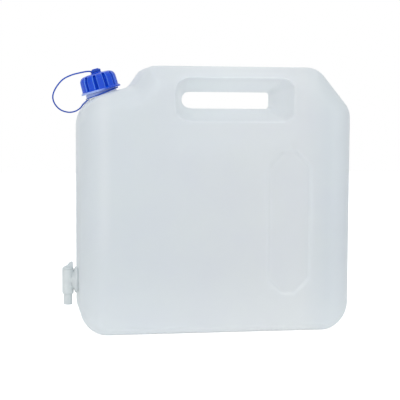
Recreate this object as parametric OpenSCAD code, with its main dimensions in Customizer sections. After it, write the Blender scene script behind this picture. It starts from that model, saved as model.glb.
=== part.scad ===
// Flat blow-moulded water canister with a screw cap on a tether and a plug tap.
// X runs along the width with the tap at -X, the front face looks to -Y, Z is up.

/* [Canister] */
// width of the canister body
body_w = 364; // [340:1:400]
// height of the canister body
body_h = 352; // [340:1:380]
// depth of the canister body, front to back
body_d = 150; // [130:1:190]
// wall thickness of the blown shell
wall = 1.8; // [1.2:0.1:2.6]
// rounding of the long edges round the front and back faces
edge_r = 34; // [26:1:40]
// rounding of the front and back edges of the base
base_edge_r = 12; // [8:1:20]
// outline radius of the two base corners
base_corner_r = 40; // [30:1:50]

/* [Shoulder and chamfer] */
// drop from the top to where the shoulder line meets the left side
shoulder_drop = 47; // [32:1:57]
// outline radius of the left shoulder
shoulder_r = 44; // [30:1:50]
// slope of the shoulder, and so the tilt of the neck
neck_tilt = 16; // [10:1:22]
// distance from the left side to the foot of the step up to the handle
step_x = 73.3; // [66:0.5:90]
// slope of that step from the horizontal
step_angle = 55; // [45:1:65]
// radius at the foot of the step
step_foot_r = 14; // [8:1:24]
// radius at the top of the step
step_top_r = 28; // [16:1:32]
// run of the right chamfer along the top
chamfer_x = 46; // [30:1:60]
// drop of the right chamfer down the side
chamfer_z = 56; // [40:1:70]
// outline radius at both ends of the chamfer
chamfer_r = 30; // [16:1:36]

/* [Handle] */
// distance from the left side to the hand slot at its narrowest
slot_x = 140; // [136:1:150]
// length of the hand slot at its narrowest
slot_l = 123; // [100:1:124]
// height of the hand slot at its narrowest
slot_h = 23.5; // [20:0.5:28]
// height of the grip above the slot
grip_h = 32.5; // [30:0.5:40]
// corner radius at the slot's left end
slot_left_r = 11; // [6:0.5:11.5]
// corner radius at the slot's right end
slot_right_r = 5; // [3:0.5:9]
// half thickness of the straight weld land inside the slot
slot_land = 6; // [3:0.5:10]
// how far the slot opens out at the left
flare_left = 18; // [8:1:22]
// how far the slot opens out at the right
flare_right = 16; // [8:1:20]
// how far the slot opens out above
flare_top = 18; // [8:1:20]
// how far the slot opens out below
flare_low = 16; // [8:1:22]

/* [Front panel] */
// distance from the right side to the sunk panel
panel_x = 60; // [52:1:80]
// width of the sunk panel
panel_w = 60; // [40:1:70]
// height of the panel's lower end
panel_z = 50; // [40:1:70]
// height of the sunk panel
panel_h = 192; // [120:1:200]
// depth of the sunk panel
panel_d = 2.4; // [1:0.1:3]
// width of the panel's sloped border
panel_slope = 8; // [3:0.5:9]
// chamfer of the panel's corners
panel_corner = 20; // [12:1:24]

/* [Neck] */
// distance along the shoulder from the left side to the neck axis
neck_u = 34.5; // [32:0.5:40]
// outer radius of the neck below the thread's crests
neck_r = 19.6; // [17:0.1:21]
// wall of the neck
neck_wall = 2.4; // [1.8:0.1:3]
// height of the neck above the shoulder
neck_h = 21.9; // [18:0.1:26]

/* [Cap] */
// radial room between neck and cap for the thread
thread_room = 2; // [1.6:0.1:3]
// wall of the cap at its lobes
cap_wall = 3.1; // [2.8:0.1:3.6]
// gap under the cap for the tether's ring
cap_gap = 5; // [4.6:0.1:7]
// height of the cap from its flange to its crown
cap_h = 24.6; // [22:0.1:28]
// how far the flange stands out past the lobes
flange_out = 2.2; // [1:0.1:3]
// thickness of the flange at its rim
flange_t = 2.4; // [1:0.1:3]
// number of finger grooves round the cap
groove_count = 11; // [8:1:14]
// radius of each finger groove
groove_r = 2.1; // [1.5:0.1:2.5]
// depth of each finger groove
groove_depth = 2.2; // [0.8:0.1:2.3]
// angle of the first finger groove from the front when the cap is tight
groove_turn = 17.9; // [0:0.1:32]
// radius of the stud that carries the tether's eye
stud_r = 3; // [2.5:0.1:4]
// radius of the stud's head
stud_head_r = 5; // [3.8:0.1:5.4]
// height of the stud's head
stud_head_h = 1.3; // [1:0.1:2]
// height of the crown's seat under the eye
eye_rise = 1.4; // [0.4:0.1:2]
// thickness of the foam liner
liner_t = 1.9; // [1.2:0.1:2.4]

/* [Tether] */
// radial room between neck and tether ring
ring_room = 1; // [0.5:0.1:1.3]
// width of the ring's band
ring_w = 2.7; // [2:0.1:3.2]
// thickness of the ring
ring_t = 1.8; // [1.2:0.1:2]
// how far the hanging ring leans from the neck's plane
ring_lean = 6; // [0:0.5:6]
// outer radius of the eye on the stud
eye_r = 7; // [6.2:0.1:8]
// thickness of the eye
eye_t = 3; // [2.2:0.1:3.5]
// radius of the strap between ring and eye
strap_r = 0.85; // [0.6:0.05:1.1]

/* [Tap] */
// height of the tap's axis above the base
tap_z = 65; // [62:0.5:80]
// radius of the tap's flange
tap_flange_r = 17.8; // [16:0.1:20]
// thickness of the tap's flange
tap_flange_t = 2.2; // [1.6:0.1:3]
// radius of the horizontal stub
stub_r = 11.2; // [10.4:0.1:12]
// radius of the threaded stub inside the wall
stub_thread_r = 9.6; // [9:0.1:10.2]
// length of the threaded stub inside the wall
stub_thread_l = 11; // [9:0.5:14]
// water way through the stub
stub_bore_r = 6.2; // [4:0.1:7]
// distance from the wall to the axis of the tap's barrel
barrel_x = 13.5; // [12:0.1:16]
// outer radius of the barrel
barrel_r = 7.7; // [7.2:0.1:8.5]
// wall of the barrel
barrel_wall = 2; // [1.6:0.1:2.4]
// top of the barrel above the tap's axis
barrel_top = 15; // [13:0.5:18]
// bottom of the barrel below the tap's axis
barrel_low = 19; // [16:0.5:21]
// outer radius of the nozzle
nozzle_r = 5.9; // [5.4:0.1:6.2]
// length of the nozzle below the barrel
nozzle_l = 14.5; // [12:0.5:18]
// water way through the nozzle and the plug
nozzle_bore_r = 3.7; // [3:0.1:4]
// height of the plug's wing above the barrel
wing_h = 10.1; // [9:0.1:12]
// thickness of the plug's wing
wing_t = 4; // [3:0.1:6]
// running clearance of the plug in the barrel
plug_clear = 0.08; // [0.05:0.01:0.1]
// thickness of the silicone washer behind the flange
washer_t = 1.2; // [0.8:0.1:2]
// section radius of the plug's sealing ring
oring_r = 0.9; // [0.7:0.05:1]

/* [Hidden] */
$fn = 64;
seat = 0.1;
hw = body_w / 2;
hd = body_d / 2;
corner_step = 10;
edge_steps = 6;
min_corner_r = 2;

// shoulder line, foot and top of the step
shoulder_z = body_h - shoulder_drop;
ts = tan(neck_tilt);
foot_x = -hw + step_x;
foot_z = shoulder_z + step_x * ts;
top_x = foot_x + (body_h - foot_z) / tan(step_angle);

// rim outline seen from the front, counter-clockwise: corner, radius, convex or concave
corners = [
    [-hw, 0],
    [hw, 0],
    [hw, body_h - chamfer_z],
    [hw - chamfer_x, body_h],
    [top_x, body_h],
    [foot_x, foot_z],
    [-hw, shoulder_z]
];
corner_rs = [base_corner_r, base_corner_r, chamfer_r, chamfer_r, step_top_r, step_foot_r, shoulder_r];
corner_way = [1, 1, 1, 1, 1, -1, 1];
// rounding towards the faces of the edge that starts at each corner
face_rs = [base_edge_r, edge_r, edge_r, edge_r, edge_r, edge_r, edge_r];
n_corners = len(corners);

function unit(v) = v / norm(v);
function edge_dir(i) = unit(corners[(i + 1) % n_corners] - corners[i % n_corners]);
function edge_out(i) = let (d = edge_dir(i)) [d[1], -d[0]];
function ang(v) = atan2(v[1], v[0]);
function wrap(a) = a > 180 ? a - 360 : a < -180 ? a + 360 : a;

// how far the wall surface lies inside the rim, and its depth, at a turn of 0 (rim) to 90 (face)
function inset(r, t, turn) = t + (r - t) * (1 - cos(turn));
function depth(r, t, turn) = hd - r + (r - t) * sin(turn);

// one corner's points on the contour that lies at a turn of the face rounding, wall offset t
function corner_points(i, t, turn, side) =
    let (
        before = (i + n_corners - 1) % n_corners,
        n1 = edge_out(before),
        n2 = edge_out(i),
        a = inset(face_rs[before], t, turn),
        b = inset(face_rs[i], t, turn),
        c = n1 * n2,
        p = corners[i] + ((b * c - a) * n1 + (a * c - b) * n2) / (1 - c * c),
        w = corner_way[i],
        r = max(min_corner_r, corner_rs[i] - w * (a + b) / 2),
        centre = p - w * r * (n1 + n2) / (1 + c),
        a1 = ang(n1),
        sweep = wrap(ang(n2) - a1),
        steps = ceil(abs(sweep) / corner_step)
    )
    [
        for (k = [0 : steps])
            let (
                f = k / steps,
                th = a1 + sweep * f,
                q = centre + w * r * [cos(th), sin(th)],
                fr = face_rs[before] * (1 - f) + face_rs[i] * f
            )
            [q[0], side * depth(fr, t, turn), q[1]]
    ];

function contour(t, turn, side) = [for (i = [0 : n_corners - 1]) each corner_points(i, t, turn, side)];

function body_rings(t) = concat(
    [for (k = [edge_steps : -1 : 0]) contour(t, 90 * k / edge_steps, -1)],
    [for (k = [0 : edge_steps]) contour(t, 90 * k / edge_steps, 1)]
);

// closed solid through rings of equal count, each counter-clockwise seen from the front
module loft(rings, c0, c1) {
    n = len(rings[0]);
    m = len(rings);
    pts = concat([for (r = rings) each r], [c0, c1]);
    sides = [
        for (j = [0 : m - 2], k = [0 : n - 1], half = [0, 1])
            let (
                a = j * n + k,
                b = j * n + (k + 1) % n
            )
            half == 0 ? [a, b, b + n] : [a, b + n, a + n]
    ];
    front = [for (k = [0 : n - 1]) [m * n, (k + 1) % n, k]];
    back = [for (k = [0 : n - 1]) [m * n + 1, (m - 1) * n + k, (m - 1) * n + (k + 1) % n]];
    polyhedron(points = pts, faces = concat(sides, front, back), convexity = 6);
}

// the blown form without openings, t inside the outer skin
module blown_form(t) {
    loft(body_rings(t), [0, t - hd, body_h / 2], [0, hd - t, body_h / 2]);
}

// hand slot: a straight weld land that flares out to both faces
slot_x0 = -hw + slot_x;
slot_x1 = slot_x0 + slot_l;
slot_z1 = body_h - grip_h;
slot_z0 = slot_z1 - slot_h;
slot_stations = [1.05, 0.9, 0.75, 0.6, 0.4, 0.2, 0];
slot_steps = 5;
// how much the slot's corner radii grow from the land to the face
slot_corner_open = 9;

function flare(s) = 0.9 * s + 0.1 * s * s * s;

function slot_corner(x, z, r, a0) = [
    for (k = [0 : slot_steps]) [x + r * cos(a0 + 90 * k / slot_steps), z + r * sin(a0 + 90 * k / slot_steps)]
];

// slot contour at station s from the land (0) to the face (1), grown by g
function slot_ring(s, side, g) =
    let (
        e = flare(s),
        x0 = slot_x0 - flare_left * e - g,
        x1 = slot_x1 + flare_right * e + g,
        z0 = slot_z0 - flare_low * e - g,
        z1 = slot_z1 + flare_top * e + g,
        rl = slot_left_r + slot_corner_open * e + g,
        rr = slot_right_r + slot_corner_open * e + g,
        y = side * (slot_land + s * (hd - slot_land)),
        flat = concat(
            slot_corner(x0 + rl, z0 + rl, rl, 180),
            slot_corner(x1 - rr, z0 + rr, rr, 270),
            slot_corner(x1 - rr, z1 - rr, rr, 0),
            slot_corner(x0 + rl, z1 - rl, rl, 90)
        )
    )
    [for (q = flat) [q[0], y, q[1]]];

module slot_tunnel(g) {
    n = len(slot_stations);
    rings = concat(
        [for (k = [0 : n - 1]) slot_ring(slot_stations[k], -1, g)],
        [for (k = [n - 1 : -1 : 0]) slot_ring(slot_stations[k], 1, g)]
    );
    xm = (slot_x0 + slot_x1) / 2;
    zm = (slot_z0 + slot_z1) / 2;
    y_end = slot_land + slot_stations[0] * (hd - slot_land);
    loft(rings, [xm, -y_end, zm], [xm, y_end, zm]);
}

// sunk panel on the front, an octagon with a sloped border
panel_x1 = hw - panel_x;
panel_x0 = panel_x1 - panel_w;
panel_over = 1.5;

function octagon(o, y) =
    let (
        x0 = panel_x0 - o,
        x1 = panel_x1 + o,
        z0 = panel_z - o,
        z1 = panel_z + panel_h + o,
        c = panel_corner + o * (2 - sqrt(2))
    )
    [
        [x0 + c, y, z0],
        [x1 - c, y, z0],
        [x1, y, z0 + c],
        [x1, y, z1 - c],
        [x1 - c, y, z1],
        [x0 + c, y, z1],
        [x0, y, z1 - c],
        [x0, y, z0 + c]
    ];

module panel_recess(g) {
    out = panel_slope * panel_over / panel_d;
    y0 = -hd - panel_over + g;
    y1 = -hd + panel_d + g;
    xm = (panel_x0 + panel_x1) / 2;
    zm = panel_z + panel_h / 2;
    loft([octagon(out + g / 2, y0), octagon(g / 2 - panel_slope, y1)], [xm, y0, zm], [xm, y1, zm]);
}

// neck frame: origin on the shoulder, local Z along the neck
neck_x = -hw + neck_u * cos(neck_tilt);
neck_z = shoulder_z + neck_u * sin(neck_tilt);
neck_bore_r = neck_r - neck_wall;
// how far the neck is drawn on below the sloped shoulder
neck_root = 12;

module at_neck() {
    translate([neck_x, 0, neck_z])
        rotate([0, -neck_tilt, 0])
            children();
}

// tap frame: origin on the outside of the left wall, local Z pointing out to -X
thread_clear = 0.15;
boss_wall = 4.5;
boss_l = 7;
tap_hole_r = stub_thread_r + thread_clear;
boss_r = stub_thread_r + boss_wall;

module at_tap() {
    translate([-hw, 0, tap_z])
        rotate([0, -90, 0])
            children();
}

module canister() {
    color([0.86, 0.89, 0.91])
        difference() {
            union() {
                difference() {
                    union() {
                        blown_form(0);
                        at_neck()
                            translate([0, 0, -neck_root])
                                cylinder(r = neck_r, h = neck_h + neck_root);
                    }
                    difference() {
                        blown_form(wall);
                        slot_tunnel(wall);
                        panel_recess(wall);
                    }
                    slot_tunnel(0);
                    panel_recess(0);
                    at_neck()
                        translate([0, 0, -neck_root - 2])
                            cylinder(r = neck_bore_r, h = neck_h + neck_root + 3);
                }
                at_tap()
                    translate([0, 0, -boss_l])
                        cylinder(r = boss_r, h = boss_l - wall / 2);
            }
            at_tap()
                translate([0, 0, -boss_l - 1])
                    cylinder(r = tap_hole_r, h = boss_l + 2);
        }
}

// cap, its bore over the neck thread, local Z from the flange's underside
cap_bore_r = neck_r + thread_room;
cap_r = cap_bore_r + cap_wall;
ceiling_z = neck_h - cap_gap + liner_t + 2 * seat;
eye_z = cap_h + eye_rise;
stud_z = eye_z + eye_t + 2 * seat;
// pocket in the ceiling inside the liner's seat
pocket_in = 6.5;
pocket_up = 3;

module at_cap() {
    at_neck()
        translate([0, 0, cap_gap])
            children();
}

module cap() {
    color([0.16, 0.28, 0.78])
        at_cap()
            difference() {
                rotate_extrude()
                    polygon([
                        [0, ceiling_z + pocket_up],
                        [cap_bore_r - pocket_in, ceiling_z + pocket_up],
                        [cap_bore_r - pocket_in, ceiling_z],
                        [cap_bore_r, ceiling_z],
                        [cap_bore_r, 0],
                        [cap_r + flange_out, 0],
                        [cap_r + flange_out, flange_t],
                        [cap_r, flange_t + 1.8],
                        [cap_r - 0.3, cap_h - 7],
                        [cap_r - 3.5, cap_h - 2.2],
                        [cap_r - 9, cap_h - 0.6],
                        [eye_r + 0.7, cap_h],
                        [eye_r, eye_z],
                        [stud_r, eye_z],
                        [stud_r, stud_z],
                        [stud_head_r, stud_z],
                        [stud_head_r - 0.5, stud_z + stud_head_h],
                        [0, stud_z + stud_head_h]
                    ]);
                for (i = [0 : groove_count - 1])
                    rotate([0, 0, 360 * i / groove_count + groove_turn - 90])
                        translate([cap_r + groove_r - groove_depth, 0, flange_t + 2.2])
                            cylinder(r = groove_r, h = cap_h);
            }
}

module cap_liner() {
    color([0.93, 0.93, 0.9])
        at_neck()
            translate([0, 0, neck_h + seat])
                cylinder(r = cap_bore_r - 0.3, h = liner_t);
}

// tether: ring, strap and eye in one moulding, the strap's points measured from the neck's foot
ring_bore_r = neck_r + ring_room;
ring_rise = 1.5;
strap_sides = 8;
strap_between = 3;
strap_route = [
    [-13.2, 14, -4],
    [-16.2, 21, -5.9],
    [-19.8, 31, -9.3],
    [-23.4, 42, -13.3],
    [-26.2, 51, -17.9],
    [-33.2, 53, -22.5],
    [-43.2, 47, -23.9],
    [-54.2, 39, -20.5],
    [-62.2, 30, -12.5],
    [-65.2, 22, -2.5],
    [-61.2, 15, 8.5],
    [-52.4, 9, 19.4],
    [-41.2, 5, 25.4],
    [-30, 2, 28.5],
    [-20.2, 0, 30.4],
    [-14.3, 0, 30.4]
];

function spline(p, i, f) =
    let (
        n = len(p),
        a = p[max(i - 1, 0)],
        b = p[i],
        c = p[min(i + 1, n - 1)],
        d = p[min(i + 2, n - 1)]
    )
    0.5 * (2 * b + (c - a) * f + (2 * a - 5 * b + 4 * c - d) * f * f + (3 * b - a - 3 * c + d) * f * f * f);

strap_line = concat(
    [for (i = [0 : len(strap_route) - 2], k = [0 : strap_between - 1]) spline(strap_route, i, k / strap_between)],
    [strap_route[len(strap_route) - 1]]
);

module strap(line, r, sides) {
    n = len(line);
    ref = unit([0.35, 0.8, 0.5]);
    pts = [
        for (i = [0 : n - 1])
            let (
                t = unit(line[min(i + 1, n - 1)] - line[max(i - 1, 0)]),
                u = unit(cross(t, ref)),
                v = cross(u, t)
            )
            for (k = [0 : sides - 1])
                line[i] + r * (cos(360 * k / sides) * u + sin(360 * k / sides) * v)
    ];
    skin = [
        for (i = [0 : n - 2], k = [0 : sides - 1], half = [0, 1])
            let (
                a = i * sides + k,
                b = i * sides + (k + 1) % sides
            )
            half == 0 ? [a, b, b + sides] : [a, b + sides, a + sides]
    ];
    ends = concat(
        [for (k = [1 : sides - 2]) [0, k + 1, k]],
        [for (k = [1 : sides - 2]) [(n - 1) * sides, (n - 1) * sides + k, (n - 1) * sides + k + 1]]
    );
    polyhedron(points = pts, faces = concat(skin, ends), convexity = 8);
}

module tether() {
    color([0.12, 0.24, 0.7]) {
        at_neck()
            translate([0, 0, ring_rise])
                rotate([0, -ring_lean, 0])
                    translate([0, 0, -ring_t / 2])
                        difference() {
                            cylinder(r = ring_bore_r + ring_w, h = ring_t);
                            translate([0, 0, -1])
                                cylinder(r = ring_bore_r, h = ring_t + 2);
                        }
        at_cap()
            translate([0, 0, eye_z + seat])
                difference() {
                    cylinder(r = eye_r, h = eye_t);
                    translate([0, 0, -1])
                        cylinder(r = stud_r + 0.3, h = eye_t + 2);
                }
        translate([neck_x, 0, neck_z])
            strap(strap_line, strap_r, strap_sides);
    }
}

// tap body: threaded stub, flange, barrel and nozzle in one moulding
barrel_bore_r = barrel_r - barrel_wall;
plug_r = barrel_bore_r - plug_clear;
ledge_z = -barrel_low + 2;
face_out = washer_t + seat;

module barrel_frame() {
    translate([-hw - barrel_x, 0, tap_z])
        children();
}

module tap_body() {
    color([0.84, 0.87, 0.89])
        difference() {
            union() {
                at_tap()
                    translate([0, 0, -stub_thread_l])
                        cylinder(r = stub_thread_r, h = stub_thread_l + face_out + 1);
                at_tap()
                    translate([0, 0, face_out])
                        cylinder(r = tap_flange_r, h = tap_flange_t);
                at_tap()
                    translate([0, 0, face_out])
                        cylinder(r = stub_r, h = barrel_x - barrel_r - face_out + 1.5);
                at_tap()
                    translate([0, 0, face_out])
                        cylinder(r = barrel_r - 0.4, h = barrel_x - face_out);
                barrel_frame()
                    translate([0, 0, -barrel_low])
                        rotate_extrude()
                            polygon([
                                [0, 0],
                                [barrel_r - 1.2, 0],
                                [barrel_r, 1.8],
                                [barrel_r, barrel_top + barrel_low - 0.6],
                                [barrel_r - 0.6, barrel_top + barrel_low],
                                [0, barrel_top + barrel_low]
                            ]);
                barrel_frame()
                    translate([0, 0, -barrel_low - nozzle_l])
                        cylinder(r = nozzle_r, h = nozzle_l + 1);
            }
            at_tap()
                translate([0, 0, -stub_thread_l - 1])
                    cylinder(r = stub_bore_r, h = stub_thread_l + face_out + 2);
            at_tap()
                cylinder(r = nozzle_bore_r, h = barrel_x);
            barrel_frame()
                translate([0, 0, ledge_z])
                    cylinder(r = barrel_bore_r, h = barrel_top - ledge_z + 1);
            barrel_frame()
                translate([0, 0, -barrel_low - nozzle_l - 1])
                    cylinder(r = nozzle_bore_r, h = nozzle_l + barrel_low);
        }
}

// plug: hollow from below with a side port, turned a quarter to open, and a wing on top
oring_z = barrel_top - 4.5;

module tap_plug() {
    color([0.78, 0.82, 0.85])
        barrel_frame() {
            difference() {
                translate([0, 0, ledge_z + seat])
                    cylinder(r = plug_r, h = barrel_top - ledge_z);
                translate([0, 0, ledge_z - 1])
                    cylinder(r = nozzle_bore_r, h = -ledge_z + nozzle_bore_r + 1);
                rotate([90, 0, 0])
                    cylinder(r = nozzle_bore_r - 0.4, h = barrel_r);
                translate([0, 0, oring_z])
                    rotate_extrude()
                        translate([plug_r - oring_r, 0])
                            square([2 * oring_r, 2 * oring_r + 0.3], center = true);
            }
            translate([0, 0, barrel_top + seat])
                rotate_extrude()
                    polygon([[0, 0], [barrel_r, 0], [barrel_r, 0.9], [barrel_r - 1.4, 1.9], [0, 1.9]]);
            translate([0, wing_t / 2, barrel_top + seat + 1])
                rotate([90, 0, 0])
                    linear_extrude(height = wing_t)
                        polygon([
                            [1 - barrel_r, 0],
                            [barrel_r - 0.6, 0],
                            [barrel_r - 0.7, wing_h - 6],
                            [barrel_r - 1, wing_h - 2.3],
                            [barrel_r - 2, wing_h - 1],
                            [barrel_r - 5.2, wing_h - 2.2],
                            [barrel_r - 6.5, wing_h - 3.5],
                            [barrel_r - 8.4, wing_h - 6],
                            [barrel_r - 11.6, wing_h - 7.6],
                            [1.5 - barrel_r, wing_h - 8.9]
                        ]);
        }
}

module tap_oring() {
    color([0.86, 0.88, 0.89])
        barrel_frame()
            translate([0, 0, oring_z])
                rotate_extrude()
                    translate([barrel_bore_r - oring_r - 0.03, 0])
                        circle(r = oring_r);
}

module tap_washer() {
    color([0.86, 0.88, 0.89])
        at_tap()
            translate([0, 0, seat / 2])
                difference() {
                    cylinder(r = tap_flange_r - 1.3, h = washer_t);
                    translate([0, 0, -1])
                        cylinder(r = stub_thread_r + 0.2, h = washer_t + 2);
                }
}

canister();
cap();
cap_liner();
tether();
tap_body();
tap_plug();
tap_oring();
tap_washer();
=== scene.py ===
import math

import bmesh
import bpy
import numpy as np
from mathutils import Matrix, Vector


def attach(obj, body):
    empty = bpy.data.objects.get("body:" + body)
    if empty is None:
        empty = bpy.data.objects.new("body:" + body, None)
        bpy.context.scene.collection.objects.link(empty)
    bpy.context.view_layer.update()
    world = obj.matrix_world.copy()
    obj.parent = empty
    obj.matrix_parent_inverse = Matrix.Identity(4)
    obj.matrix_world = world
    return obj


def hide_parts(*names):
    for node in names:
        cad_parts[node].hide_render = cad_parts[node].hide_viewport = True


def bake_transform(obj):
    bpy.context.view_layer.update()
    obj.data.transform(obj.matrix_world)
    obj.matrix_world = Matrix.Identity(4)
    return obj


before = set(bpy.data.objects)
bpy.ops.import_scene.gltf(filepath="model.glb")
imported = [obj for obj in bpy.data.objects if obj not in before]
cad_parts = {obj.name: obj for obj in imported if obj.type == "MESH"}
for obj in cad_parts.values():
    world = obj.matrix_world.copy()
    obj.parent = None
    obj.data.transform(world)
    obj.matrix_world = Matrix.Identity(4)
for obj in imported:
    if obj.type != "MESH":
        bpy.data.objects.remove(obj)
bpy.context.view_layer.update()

MM = 0.001

# sizes in mm. Most are those of the part's source. The left base corner, the shoulder's step, the slot's
# corners, the panel's border and the strap's thickness follow the photo more closely than the source does
HALF_W, BODY_H, HALF_D, WALL = 182.0, 352.0, 75.0, 1.8
EDGE_R, BASE_EDGE_R, BASE_CORNER_R, BASE_LEFT_R = 34.0, 12.0, 40.0, 33.0
SHOULDER_Z, SHOULDER_R, TILT = 305.0, 44.0, math.radians(16)
STEP_X, STEP_ANGLE, STEP_FOOT_R, STEP_TOP_R = 71.0, math.radians(54), 13.0, 19.0
CHAMFER_X, CHAMFER_Z, CHAMFER_R = 46.0, 56.0, 30.0
SLOT = dict(x0=-42.0, x1=81.0, z0=296.0, z1=319.5, land=6.0)
SLOT_CORNERS = dict(left_top=(11.0, 11.0), left_low=(16.0, 11.0),
                    right_top=(5.5, 5.5), right_low=(6.5, 6.5))
SLOT_CORNER_OPEN, MIN_CORNER_R = 9.0, 2.0
FLARE = dict(left=18.0, right=16.0, top=18.0, low=16.0)
PANEL = dict(x0=62.0, x1=122.0, z0=50.0, z1=242.0, depth=2.4, border=6.0, corner=20.0)
NECK_U, NECK_R, NECK_WALL, NECK_H = 34.5, 19.6, 2.4, 21.9
NECK_BORE_R = NECK_R - NECK_WALL
CAP_GAP, CAP_BORE_R, CAP_R, CAP_H, FLANGE_R = 5.0, 21.6, 24.7, 24.6, 26.9
THREAD_PITCH = 6.0
GROOVES, GROOVE_TURN, GROOVE_DEPTH = 11, math.radians(17.9), 2.2
GROOVE_HALF_W, GROOVE_SIDE = 2.9, 1.4
STUD_R, STUD_HEAD_R, EYE_R, EYE_RISE, EYE_T = 3.0, 5.0, 7.0, 1.4, 3.0
RING_BORE_R, RING_W, RING_T, RING_LEAN, RING_RISE = 20.6, 2.7, 1.8, math.radians(6), 1.5
STRAP_R = 1.0
TAP_Z, BARREL_X, BARREL_R, NOZZLE_R = 65.0, 13.5, 7.7, 5.9
TAP_FLANGE_R, STUB_R, BOSS_R, TAP_HOLE_R = 17.8, 9.6, 14.1, 9.75
PLUG_R, PLUG_BORE_R, PASSAGE_R = 5.62, 5.7, 3.7

# segments of a full turn
FINE, PLAIN, COARSE = 96, 64, 48

NECK_FOOT = Vector((-HALF_W + NECK_U * math.cos(TILT), 0, SHOULDER_Z + NECK_U * math.sin(TILT)))
NECK_FRAME = Matrix.Translation(NECK_FOOT) @ Matrix.Rotation(-TILT, 4, "Y")
CAP_FRAME = NECK_FRAME @ Matrix.Translation((0, 0, CAP_GAP))
RING_FRAME = NECK_FRAME @ Matrix.Translation((0, 0, RING_RISE)) @ Matrix.Rotation(-RING_LEAN, 4, "Y")
STUB_FRAME = Matrix.Translation((-HALF_W, 0, TAP_Z)) @ Matrix.Rotation(-math.pi / 2, 4, "Y")
BARREL_FRAME = Matrix.Translation((-HALF_W - BARREL_X, 0, TAP_Z))


# mesh helpers
def object_from(bm, name, place=None):
    """The finished mesh, turned from mm in its own frame to metres in the object's frame."""
    if place is not None:
        bm.transform(place)
    bm.transform(Matrix.Scale(MM, 4))
    mesh = bpy.data.meshes.new(name)
    bm.to_mesh(mesh)
    bm.free()
    made = bpy.data.objects.new(name, mesh)
    bpy.context.scene.collection.objects.link(made)
    return made


def smooth(made, angle):
    """Smooth shading, with edges over an angle in degrees kept sharp."""
    made.data.shade_smooth()
    made.data.set_sharp_from_angle(angle=math.radians(angle))


def sheet_of_rings(rings, round_trip):
    """A grid whose rows are closed rings. With round_trip the last row also joins the first."""
    rows, count = len(rings), len(rings[0])
    spans = rows if round_trip else rows - 1
    bm = bmesh.new()
    bmesh.ops.create_grid(bm, x_segments=count, y_segments=spans, size=1)
    for v in bm.verts:
        i = round((v.co.x + 1) / 2 * count) % count
        j = round((v.co.y + 1) / 2 * spans) % rows
        v.co = rings[j][i]
    bmesh.ops.remove_doubles(bm, verts=bm.verts, dist=1e-4)
    bmesh.ops.recalc_face_normals(bm, faces=bm.faces)
    return bm


def turned(profile, segments):
    """A profile of (radius, height) points spun right round local Z."""
    bm = bmesh.new()
    verts = [bm.verts.new((r, 0, z)) for r, z in profile]
    edges = [bm.edges.new((a, b)) for a, b in zip(verts, verts[1:])]
    if profile[0][0] > 0 or profile[-1][0] > 0:
        edges.append(bm.edges.new((verts[-1], verts[0])))
    bmesh.ops.spin(bm, geom=verts + edges, cent=(0, 0, 0), axis=(0, 0, 1), angle=2 * math.pi,
                   steps=segments, use_merge=True)
    bmesh.ops.remove_doubles(bm, verts=bm.verts, dist=1e-4)
    bmesh.ops.recalc_face_normals(bm, faces=bm.faces)
    return bm


def rounded(points, radius, steps=3):
    """The same closed or open profile with every inner corner rounded by up to radius."""
    out = []
    for k, p in enumerate(points):
        if k == 0 or k == len(points) - 1:
            out.append(tuple(p))
            continue
        a, b, c = Vector(points[k - 1]), Vector(p), Vector(points[k + 1])
        reach = min(radius, (a - b).length * 0.45, (c - b).length * 0.45)
        start, end = b + (a - b).normalized() * reach, b + (c - b).normalized() * reach
        for s in range(steps + 1):
            t = s / steps
            q = start * (1 - t) ** 2 + b * 2 * t * (1 - t) + end * t * t
            out.append((q.x, q.y))
    return out


def thread(r_base, r_crest, foot_w, crest_w, turns, z0):
    """A helical ridge between two radii that climbs one pitch a turn."""
    bm = bmesh.new()
    section = [(r_base, -foot_w / 2), (r_crest, -crest_w / 2), (r_crest, crest_w / 2), (r_base, foot_w / 2)]
    face = bm.faces.new([bm.verts.new((r, 0, z0 + z)) for r, z in section])
    steps = int(turns * COARSE)
    bmesh.ops.spin(bm, geom=[face] + face.edges[:] + face.verts[:], cent=(0, 0, 0), axis=(0, 0, 1),
                   angle=2 * math.pi * turns, steps=steps, dvec=(0, 0, THREAD_PITCH * turns / steps))
    bmesh.ops.remove_doubles(bm, verts=bm.verts, dist=1e-4)
    bmesh.ops.recalc_face_normals(bm, faces=bm.faces)
    return bm


def combine(target, tool, operation):
    """Boolean of two closed meshes, kept in the target."""
    step = target.modifiers.new(operation, "BOOLEAN")
    step.object, step.operation, step.solver = tool, operation, "MANIFOLD"
    ready = target.evaluated_get(bpy.context.evaluated_depsgraph_get())
    mesh = bpy.data.meshes.new_from_object(ready)
    target.modifiers.clear()
    target.data = mesh
    bpy.data.objects.remove(tool)
    return target


def joined(name, parts):
    """Several meshes kept as one piece."""
    bm = bmesh.new()
    for part in parts:
        bm.from_mesh(part.data)
        bpy.data.objects.remove(part)
    mesh = bpy.data.meshes.new(name)
    bm.to_mesh(mesh)
    bm.free()
    made = bpy.data.objects.new(name, mesh)
    bpy.context.scene.collection.objects.link(made)
    return made


# the blown shell
foot_x = -HALF_W + STEP_X
foot_z = SHOULDER_Z + STEP_X * math.tan(TILT)
top_x = foot_x + (BODY_H - foot_z) / math.tan(STEP_ANGLE)
RIM_CORNERS = np.array([
    (-HALF_W, 0), (HALF_W, 0), (HALF_W, BODY_H - CHAMFER_Z), (HALF_W - CHAMFER_X, BODY_H),
    (top_x, BODY_H), (foot_x, foot_z), (-HALF_W, SHOULDER_Z),
], float)
CORNER_R = [BASE_LEFT_R, BASE_CORNER_R, CHAMFER_R, CHAMFER_R, STEP_TOP_R, STEP_FOOT_R, SHOULDER_R]
CORNER_WAY = [1, 1, 1, 1, 1, -1, 1]
FACE_R = [BASE_EDGE_R] + [EDGE_R] * 6


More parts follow.
